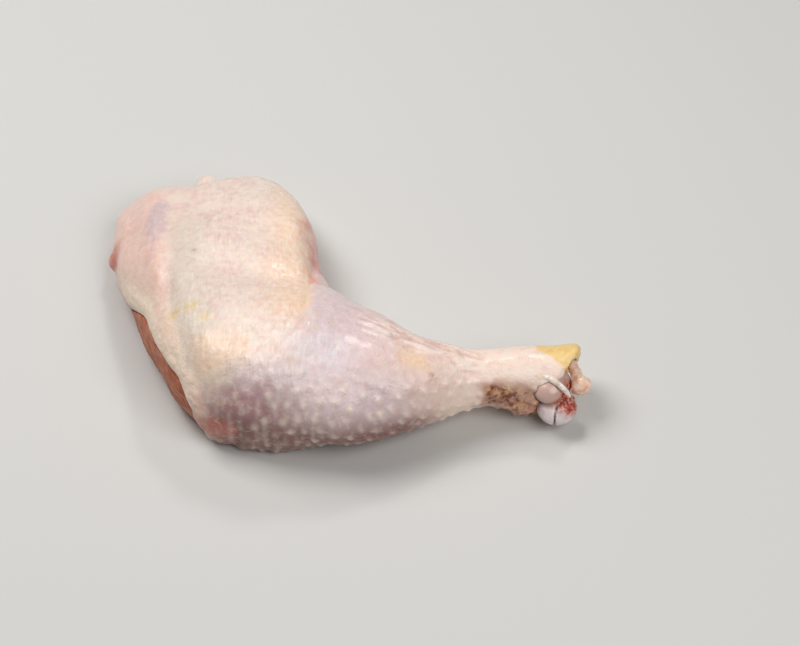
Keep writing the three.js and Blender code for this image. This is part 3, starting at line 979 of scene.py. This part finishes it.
def make_skin():
    material, tree, shader = wet_tissue("raw chicken skin", 0.4, 0.35)
    place = add(tree, "ShaderNodeTexCoord", {}, "Object")
    cloudy = add(tree, "ShaderNodeTexNoise", {"Vector": place, "Scale": 1 / (9 * MM), "Detail": 3})
    specks = add(tree, "ShaderNodeTexNoise", {"Vector": place, "Scale": 1 / (4.5 * MM), "Detail": 4})
    mottled = add(tree, "ShaderNodeTexNoise", {"Vector": place, "Scale": 1 / (2.4 * MM), "Detail": 6})
    pores = add(tree, "ShaderNodeTexNoise", {"Vector": place, "Scale": 1 / (1.1 * MM), "Detail": 3})
    pulled = add(tree, "ShaderNodeMapping", {"Vector": place, "Scale": (1, 0.2, 0.2)})
    lines = add(tree, "ShaderNodeTexNoise", {"Vector": pulled, "Scale": 1 / (0.9 * MM), "Detail": 4})
    wrinkled = add(tree, "ShaderNodeAttribute", {}, "Fac", attribute_name="wrinkled")
    wrinkles = add(tree, "ShaderNodeMath", {0: lines, 1: wrinkled}, operation="MULTIPLY")
    crust = add(tree, "ShaderNodeTexNoise", {"Vector": place, "Scale": 1 / (1.8 * MM), "Detail": 5})
    scalded = add(tree, "ShaderNodeAttribute", {}, "Fac", attribute_name="scald")
    charred = add(tree, "ShaderNodeMath", {0: crust, 1: scalded}, operation="MULTIPLY")

    patches = [
        (add(tree, "ShaderNodeAttribute", {}, "Fac", attribute_name=name), 0, 1, strength, code)
        for name, code, strength in SKIN_COLOURS
    ]
    patterns = [
        (specks, 0.62, 0.74, 0.4, "#efdc9c"),
        # painted highlights: pale lines along the fine wrinkles
        (wrinkles, 0.5, 0.7, 0.36, "#fbf3ee"),
        (mottled, 0.5, 0.7, 0.28, "#f8ece2"),
        (mottled, 0.48, 0.3, 0.22, "#c79c90"),
        (charred, 0.42, 0.56, 0.8, "#6c2f1f"),
    ]
    colour = tinted(tree, SKIN_BASE, [(cloudy, 0.4, 0.65, 1, "#e8cbc0")] + patches + patterns)
    tree.links.new(colour, shader.inputs["Base Color"])
    moist = add(
        tree, "ShaderNodeMapRange",
        {"Value": mottled, "From Min": 0.3, "From Max": 0.7, "To Min": 0.31, "To Max": 0.47},
    )
    tree.links.new(moist, shader.inputs["Roughness"])
    lined = add(tree, "ShaderNodeBump", {"Height": wrinkles, "Distance": 0.25 * MM, "Strength": 1})
    rough = add(
        tree, "ShaderNodeBump",
        {"Height": pores, "Distance": 0.28 * MM, "Strength": 1, "Normal": lined},
    )
    tree.links.new(rough, shader.inputs["Normal"])
    print("skin colours:", len(patches), "patches and", len(patterns), "patterns")
    return material


coat(skin, make_skin())

# %% [markdown]
# The bare meat is dark leg muscle, cut days ago: its face has dried to a dull red-brown. It is
# made of long fibres about a millimetre wide, paler where fat and membrane run between them. A
# dry face shines little, so the film of moisture is almost gone and the shine is halved.

# %% Raw dark meat


def make_meat():
    material, tree, shader = wet_tissue("raw dark meat", 0.5, 0.05, 2.0)
    place = add(tree, "ShaderNodeTexCoord", {}, "Object")
    cloudy = add(tree, "ShaderNodeTexNoise", {"Vector": place, "Scale": 1 / (5 * MM), "Detail": 3})
    drawn = add(tree, "ShaderNodeMapping", {"Vector": place, "Scale": (0.17, 0.17, 1)})
    fibres = add(tree, "ShaderNodeTexNoise", {"Vector": drawn, "Scale": 1 / (1.2 * MM), "Detail": 4})
    tints = [(cloudy, 0.4, 0.65, 1, "#bd7250"), (fibres, 0.5, 0.7, 0.5, "#dba383")]
    tree.links.new(tinted(tree, "#a6553a", tints), shader.inputs["Base Color"])
    ridged = add(tree, "ShaderNodeBump", {"Height": fibres, "Distance": 0.3 * MM, "Strength": 1})
    tree.links.new(ridged, shader.inputs["Normal"])
    shader.inputs["Specular IOR Level"].default_value = 0.25
    return material


coat(meat, make_meat())

# %% [markdown]
# The knuckles of the joint wear cartilage, a smooth bluish-white gristle that keeps its wet
# shine. Where it is chipped off, the spongy bone behind it is red with marrow, in crumbs about
# a millimetre across.

# %% Cartilage over bone


def make_bone():
    material, tree, shader = wet_tissue("wet cartilage over bone", 0.28, 0.6, 1.5)
    place = add(tree, "ShaderNodeTexCoord", {}, "Object")
    cloudy = add(tree, "ShaderNodeTexNoise", {"Vector": place, "Scale": 1 / (4 * MM), "Detail": 3})
    crumbs = add(tree, "ShaderNodeTexNoise", {"Vector": place, "Scale": 1 / (1.0 * MM), "Detail": 5})
    warm, painted_shade_between_knuckles, marrow, crack = (
        add(tree, "ShaderNodeAttribute", {}, "Fac", attribute_name=name)
        for name in ("warm", "painted_shade_between_knuckles", "marrow", "crack")
    )
    red = tinted(tree, "#a23628", [(crumbs, 0.44, 0.62, 1, "#dc9480")])
    gristle = [
        (cloudy, 0.4, 0.65, 1, "#d4c0c0"),
        (warm, 0, 1, 0.75, "#cda390"),
        # painted shade in the hollow between the knuckles
        (painted_shade_between_knuckles, 0.1, 1, 0.75, "#94695a"),
        (marrow, 0.12, 0.4, 1, red),
        (crack, 0.2, 0.7, 0.85, "#6e4442"),
    ]
    tree.links.new(tinted(tree, "#eee2e1", gristle), shader.inputs["Base Color"])
    rough = add(tree, "ShaderNodeBump", {"Height": crumbs, "Distance": 0.1 * MM, "Strength": 1})
    tree.links.new(rough, shader.inputs["Normal"])
    return material


coat(bone, make_bone())

# %% [markdown]
# Tendon is a rope of white fibres and the joint's capsule a tough tan sheet. Both are wet and
# smooth, so both share a low roughness and a strong film of moisture, and differ in colour only.

# %% Tendon and capsule tissue


def make_tissue(name, pale, dark, patch_mm):
    material, tree, shader = wet_tissue(name, 0.3, 0.5, 1.2)
    place = add(tree, "ShaderNodeTexCoord", {}, "Object")
    patches = add(
        tree, "ShaderNodeTexNoise", {"Vector": place, "Scale": 1 / (patch_mm * MM), "Detail": 4}
    )
    tree.links.new(tinted(tree, pale, [(patches, 0.4, 0.65, 1, dark)]), shader.inputs["Base Color"])
    uneven = add(tree, "ShaderNodeBump", {"Height": patches, "Distance": 0.2 * MM, "Strength": 1})
    tree.links.new(uneven, shader.inputs["Normal"])
    return material


coat(tendon, make_tissue("wet white tendon", "#f6ece2", "#dcc4b4", 1.5))
coat(capsule, make_tissue("wet joint tissue", "#ffe2cb", "#eeb596", 2.0))

# %% [markdown]
# Each fine piece now takes the place of its solid in the frame and rides on the leg's one body.

# %% Put the pieces in the frame
PIECES = {
    "skin": skin,
    "meat": meat,
    "bone": bone,
    "tendon": tendon,
    "joint_capsule": capsule,
}
print("fine pieces:", {node: piece.name for node, piece in PIECES.items()})
for node, piece in PIECES.items():
    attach(piece, "root")
    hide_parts(node)

# %% [markdown]
# The leg lies on a pale matt floor under lamps. A large one from the left and a larger one from
# the front right give soft shadows. A small one behind puts the wet highlights on the skin.

# %% Floor and light


def make_floor():
    material = bpy.data.materials.new("pale matt studio floor")
    material.use_nodes = True
    tree = material.node_tree
    shader = tree.nodes["Principled BSDF"]
    cloudy = add(tree, "ShaderNodeTexNoise", {"Scale": 1 / (400 * MM)})
    shade = add(tree, "ShaderNodeMix", {0: cloudy, 6: "#cfcdc9", 7: "#d4d2ce"}, 2, data_type="RGBA")
    tree.links.new(shade, shader.inputs["Base Color"])
    shader.inputs["Roughness"].default_value = 0.8
    bpy.ops.mesh.primitive_plane_add(size=6)
    floor = bpy.context.object
    floor.name = "floor"
    floor.data.materials.append(material)


def add_lamp(name, place, size, watts):
    lamp = bpy.data.lights.new(name, "AREA")
    lamp.size = size
    lamp.energy = watts
    made = bpy.data.objects.new(name, lamp)
    made.location = place
    made.rotation_euler = (-Vector(place)).to_track_quat("-Z", "Y").to_euler()
    bpy.context.scene.collection.objects.link(made)


make_floor()
add_lamp("key", (-0.45, 0.22, 0.85), 0.5, 6.3)
add_lamp("fill", (0.5, -0.5, 0.8), 0.6, 5.3)
add_lamp("shine", (0.15, 0.5, 0.7), 0.12, 1.2)
world = bpy.data.worlds.new("soft room")
world.use_nodes = True
world.node_tree.nodes["Background"].inputs["Color"].default_value = (0.8, 0.82, 0.85, 1)
world.node_tree.nodes["Background"].inputs["Strength"].default_value = 0.12
bpy.context.scene.world = world
bpy.context.scene.view_settings.view_transform = "Standard"

# %% [markdown]
# The camera looks down on the leg steeply with a long lens, as a photographer would from a step
# away. It is moved back along its own line of sight from the point that it looks at.

# %% Camera
CAMERA_DISTANCE = 0.7
CAMERA_ELEVATION = np.radians(49)
LOOKS_AT = Vector((0.0207, 0.0026, 0))
back = Vector((0, -np.cos(CAMERA_ELEVATION), np.sin(CAMERA_ELEVATION)))
camera = bpy.data.objects.new("camera", bpy.data.cameras.new("camera"))
camera.data.lens = 85
camera.location = LOOKS_AT + back * CAMERA_DISTANCE
camera.rotation_euler = (-back).to_track_quat("-Z", "Y").to_euler()
bpy.context.scene.collection.objects.link(camera)
bpy.context.scene.camera = camera
print("the camera stands at", [round(v, 4) for v in camera.location])

# %% [markdown]
# Last, the view layer is brought up to date.

# %% Finish
bpy.context.view_layer.update()
